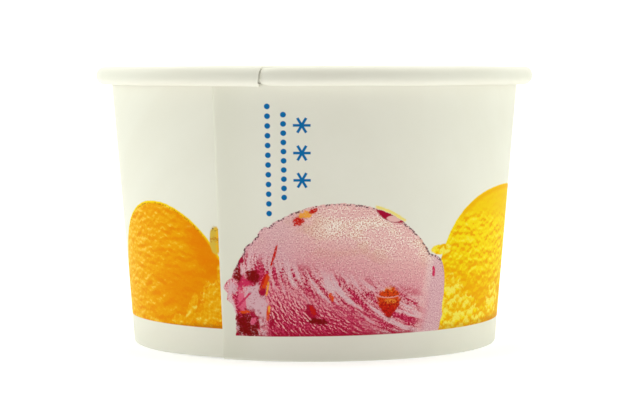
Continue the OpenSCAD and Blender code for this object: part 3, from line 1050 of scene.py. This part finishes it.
FRUIT = [
    (-14.2, 10.6, 1.5, 2.6, 0.10, LILAC),
    (-12.9, 8.8, 1.1, 1.7, 0.0, LILAC),
    (-16.3, 9.6, 0.7, 2.0, -0.15, HOT_PINK),
    (-17.6, 11.8, 0.9, 0.9, 0.5, LILAC),
    (-15.9, 10.0, 0.28, 1.1, 1.0, MAGENTA),
    (-16.5, 13.0, 0.9, 1.3, 0.0, MAGENTA),
    (-16.9, 13.9, 0.65, 1.2, 0.0, MAROON),
    (-15.0, 12.9, 1.1, 0.7, 0.0, MAGENTA),
    (-14.2, 13.8, 1.25, 1.2, 0.0, CRIMSON),
    (-14.2, 13.9, 1.05, 1.0, 0.0, MAROON),
    (-16.1, 16.4, 0.6, 0.5, 0.0, CRIMSON),
    (-12.4, 12.6, 0.55, 1.8, 0.33, BERRY),
    (-12.1, 12.9, 0.30, 1.5, 0.33, BERRY_LIGHT),
    (-11.8, 11.9, 0.18, 1.3, 0.20, PEEL),
    (-12.7, 11.3, 0.55, 0.6, 0.3, CRIMSON),
    (-15.2, 6.5, 2.2, 1.9, 0.0, CRIMSON),
    (-15.6, 6.1, 1.8, 1.5, -0.2, MAROON),
    (-15.3, 4.6, 1.9, 0.5, 0.0, MAROON),
    (-14.4, 6.5, 0.5, 0.6, 0.3, HOT_PINK),
    (-15.9, 8.0, 0.9, 0.25, 0.0, BERRY_LIGHT),
    (-11.8, 8.0, 0.32, 1.1, 0.1, BERRY_LIGHT),
    (-11.6, 8.6, 0.18, 0.6, 0.1, PEEL),
    (-11.2, 6.3, 0.4, 0.7, 0.2, CRIMSON),
    (-10.6, 17.3, 0.20, 1.8, 0.32, BERRY),
    (-6.6, 22.9, 1.0, 0.8, 0.5, BERRY),
    (-5.4, 23.9, 1.1, 0.6, 0.6, PEEL),
    (-4.4, 24.4, 0.6, 0.4, 0.6, BERRY),
    (-4.6, 8.2, 0.9, 1.2, -0.3, CRIMSON),
    (-4.4, 8.3, 0.45, 0.8, -0.3, BERRY),
    (-3.6, 6.6, 1.6, 0.5, -0.8, MAROON),
    (-1.4, 10.6, 0.4, 0.6, -0.4, BERRY_LIGHT),
    (17.0, 14.2, 0.3, 1.0, -0.1, MAGENTA),
]


def fruit(colour):
    solid = 1 - fine.step(0.03, 0.12) * 0.5
    for cx, cz, rx, rz, lean, ink in FRUIT:
        patch = blob(pink_x, cx, cz, rx, rz, FRUIT_ROUGH, FRUIT_SOFT, lean)
        colour = paint(colour, ink, patch * pink_shown * solid)
    return colour


print("patches of fruit:", len(FRUIT))

# %% [markdown]
# Two pieces of fruit are large enough to need a drawing of their own: a strawberry with
# seeds in the lower right, and a slice that lies on the upper outline with a bright
# fringe. The strawberry's width is divided by a number that shrinks towards its point.

# %% Strawberry and slice
BERRY_X = 8.5


def big_berry(colour):
    x = pink_x - BERRY_X
    point = PZ.step(6.3, 10.4) * 0.9 + 0.5
    shape = blob(x / point, 0.0, 9.3, 1.6, 2.6, 0.7, 0.12)
    flesh = paint(BERRY, BERRY_LIGHT, (PZ + crumbly * 6).step(8.2, 10.6) * 0.9)
    flesh = paint(flesh, MAROON, fine.step(0.01, 0.12) * 0.8)
    flesh = paint(flesh, MAROON, (PZ - x * 0.5).step(7.8, 6.6) * 0.8)
    flesh = paint(flesh, PEEL, points.step(0.17, 0.1) * 0.6)
    flesh = paint(flesh, PEEL, (PZ + crumbly * 3).step(11.3, 11.8) * 0.6)
    gleam = blob(x, 0.3, 9.7, 1.2, 0.4, 1.6) * fine.step(0.03, -0.03)
    flesh = paint(flesh, PEEL, gleam * 0.6)
    arc = (PZ - 10.25 - x * x * 0.09 + fine * 0.4).size().step(0.16, 0.05)
    flesh = paint(flesh, PINK_PALE, arc * 0.6)
    return paint(colour, flesh, shape)


def slice_on_outline(colour):
    near = blob(pink_x, 8.6, 24.2, 2.6, 1.9, 0.2, 0.1, -0.6)
    fringe = pink_shape.step(-0.03, -0.018) * pink_shape.step(0.004, -0.004)
    colour = paint(colour, LEMON, near * fringe * 0.7)
    colour = paint(colour, CRIMSON, near * pink_shape.step(0.085, 0.07) * pink_shown)
    pale = blob(pink_x, 8.9, 23.0, 1.2, 0.5, 0.4, 0.1, -0.6)
    return paint(colour, PINK_PALE, pale * pink_shown)


print("strawberry is", BERRY_X, "mm right of the middle")

# %% [markdown]
# To the right of the seam stand two rows of blue dots and three snow stars. A row repeats
# one dot with the remainder of a division, and a star is three bars that cross.

# %% Blue marks
BLUE = (0.006, 0.145, 0.40)
DOT_D = 0.9
DOT_ROWS = [(-12.6, 24.02, 41.10, 12), (-8.4, 26.60, 39.80, 10)]
STAR_AZ = -3.5
STARS = [29.35, 33.70, 38.10]
STAR_D, STAR_BAR = 2.7, 0.42
MARK_SOFT = 0.05


def within(distance, reach):
    """1 up to a distance, with an edge as soft as ink on paper."""
    return distance.step(reach + MARK_SOFT, reach - MARK_SOFT)


def blue_marks(colour):
    for az, low, high, count in DOT_ROWS:
        pitch = (high - low) / (count - 1)
        x = PX - along_mm(az)
        z = (PZ - (low - pitch / 2)).math("FLOORED_MODULO", pitch) - pitch / 2
        row = within((PZ - (low + high) / 2).size(), (high - low + pitch) / 2)
        colour = paint(colour, BLUE, within((x * x + z * z).root(), DOT_D / 2) * row)
    x = PX - along_mm(STAR_AZ)
    for middle in STARS:
        z = PZ - middle
        for turn in (0.0, 60.0, 120.0):
            c, s = math.cos(math.radians(turn)), math.sin(math.radians(turn))
            long_way = within((x * c + z * s).size(), STAR_D / 2)
            wide_way = within((z * c - x * s).size(), STAR_BAR / 2)
            colour = paint(colour, BLUE, long_way * wide_way)
    return colour


print("marks:", DOT_ROWS, STARS)

# %% [markdown]
# The lapped part is two sheets thick. It is painted a little darker than the single sheet
# beside it, less and less across the lap: painted shade, where less light comes through
# the double sheet. That shade goes down first, then the scoops from back to front, then
# the fruit and the blue marks.

# %% Print the sheet
LAP_PAINTED_SHADE = (0.735, 0.725, 0.64)
CUT_SOFT = 0.02

lap_from, lap_to = (PRINT_R * math.radians(turn) for turn in (2, LAP + 2))
# painted shade: the lap is painted darker than the paper beside it
lapped = PX.step(-CUT_SOFT, CUT_SOFT) * PX.step(lap_to, lap_from)
artwork = paint(plain_colour, LAP_PAINTED_SHADE, lapped)
back_to_front = [yellow_scoop, yellow_crumbs, orange_scoop, orange_crumbs, pink_scoop]
back_to_front += [fruit, big_berry, slice_on_outline, blue_marks]
for draw in back_to_front:
    artwork = draw(artwork)
side_tree = side_paper.node_tree
side_shader = side_tree.nodes["Principled BSDF"]
side_tree.links.new(artwork, side_shader.inputs["Base Color"])
side_shader.inputs["Specular IOR Level"].default_value = PRINTED_SHINE
print("artwork has", len(side_tree.nodes), "nodes")

# %% [markdown]
# The camera stands a little above the rim and looks slightly down, far enough away for a
# long lens. Its height, distance, tilt and focal length were fitted to the outline of the
# rim and the foot in the photograph.

# %% Camera
WIDTH_PX = 620
FOCAL_PX = 2280
SENSOR_MM = 36.0
CAMERA_AT = (-0.00078, -0.395, 0.0485)
LOOK_DOWN, TILT = 3.69, 0.06

camera_data = bpy.data.cameras.new("camera")
camera_data.sensor_width = SENSOR_MM
camera_data.lens = FOCAL_PX / WIDTH_PX * SENSOR_MM
camera_data.clip_start = 0.01
camera = bpy.data.objects.new("camera", camera_data)
camera.location = CAMERA_AT
camera.rotation_euler = (math.radians(90 - LOOK_DOWN), math.radians(TILT), 0)
bpy.context.collection.objects.link(camera)
bpy.context.scene.camera = camera
print("lens", round(camera_data.lens, 1), "mm")

# %% [markdown]
# The floor runs back and up into a curved backdrop, like a roll of paper in a studio. It
# is a lit table: its surface gives some light of its own, so that it stays white right up
# to the foot, where the cup shades it.

# %% Floor and backdrop
FLOOR_HALF = 1.4
FRONT_Y, BACK_Y = -1.6, 0.9
TOP_Z = 1.8
SWEEP_R, SWEEP_STEPS = 0.4, 16
TABLE_GLOW = 0.376


def backdrop():
    sweep_y = BACK_Y - SWEEP_R
    profile = [(FRONT_Y, 0.0), (sweep_y, 0.0)]
    for step in range(1, SWEEP_STEPS + 1):
        a = math.radians(90 * step / SWEEP_STEPS)
        profile.append((sweep_y + SWEEP_R * math.sin(a), SWEEP_R - SWEEP_R * math.cos(a)))
    profile.append((BACK_Y, TOP_Z))
    points = [(x, y, z) for y, z in profile for x in (-FLOOR_HALF, FLOOR_HALF)]
    faces = [(2 * i, 2 * i + 1, 2 * i + 3, 2 * i + 2) for i in range(len(profile) - 1)]
    mesh = bpy.data.meshes.new("backdrop")
    mesh.from_pydata(points, [], faces)
    mesh.polygons.foreach_set("use_smooth", [True] * len(mesh.polygons))
    return mesh


table_light = bpy.data.materials.new("lit table")
table_light.use_nodes = True
shader = table_light.node_tree.nodes["Principled BSDF"]
shader.inputs["Base Color"].default_value = (0.8, 0.8, 0.8, 1)
shader.inputs["Roughness"].default_value = 0.9
shader.inputs["Specular IOR Level"].default_value = 0.0
shader.inputs["Emission Color"].default_value = (1, 1, 1, 1)
shader.inputs["Emission Strength"].default_value = TABLE_GLOW
floor_mesh = backdrop()
floor_mesh.materials.append(table_light)
floor = bpy.data.objects.new("floor", floor_mesh)
bpy.context.collection.objects.link(floor)
print("floor and backdrop have", len(floor_mesh.polygons), "faces")

# %% [markdown]
# A pale cup on white keeps its form when its sides are brighter than its front. Two large
# soft lamps stand left and right of the cup. One hangs straight above it for the rim and
# the floor, and a weaker warm one above and behind it. The front is left to a weak warm
# grey from all round.

# %% Lamps
SIDE_X, SIDE_Y, SIDE_Z = 0.95, 0.1, 0.35
CUP_MIDDLE = (0, 0, 0.03)
SOFT = 0.9
SURROUND = (0.20, 0.19, 0.15, 1)


def lamp(name, place, target, width, height, power, colour=(1, 1, 1)):
    data = bpy.data.lights.new(name, "AREA")
    data.shape = "RECTANGLE"
    data.size, data.size_y = width, height
    data.energy = power
    data.color = colour
    thing = bpy.data.objects.new(name, data)
    thing.location = place
    aim = Vector(target) - Vector(place)
    thing.rotation_euler = aim.to_track_quat("-Z", "Y").to_euler()
    bpy.context.collection.objects.link(thing)


left_place, right_place = (-SIDE_X, SIDE_Y, SIDE_Z), (SIDE_X, SIDE_Y, SIDE_Z)
lamp("left lamp", left_place, CUP_MIDDLE, SOFT, SOFT, 5.0, (0.90, 1.0, 0.93))
lamp("right lamp", right_place, CUP_MIDDLE, SOFT, SOFT, 4.4, (0.90, 1.0, 0.91))
lamp("back lamp", (0, 0.35, 0.95), (0, 0.1, 0), 1.2, 0.8, 2.4, (1.0, 0.95, 0.82))
lamp("top lamp", (0, 0, 1.0), (0, 0, 0), 0.8, 0.8, 7.3)

world = bpy.data.worlds.new("studio")
world.use_nodes = True
background = world.node_tree.nodes["Background"]
background.inputs["Color"].default_value = SURROUND
background.inputs["Strength"].default_value = 1.0
bpy.context.scene.world = world
bpy.context.scene.view_settings.view_transform = "Standard"

# %% [markdown]
# Last, each piece is hung on the root body, and the parts of the import that it stands in
# for are hidden. The sheet stands for the side and for all the ink on it, because the
# printing is in its finish.

# %% Tie the pieces to the part
PRINTS = ["print_orange", "print_pink", "print_yellow"]
PRINTS += ["print_crimson", "print_amber", "print_blue"]
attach(side, "root")
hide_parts("sidewall", *PRINTS)
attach(disc, "root")
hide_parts("bottom_disc")
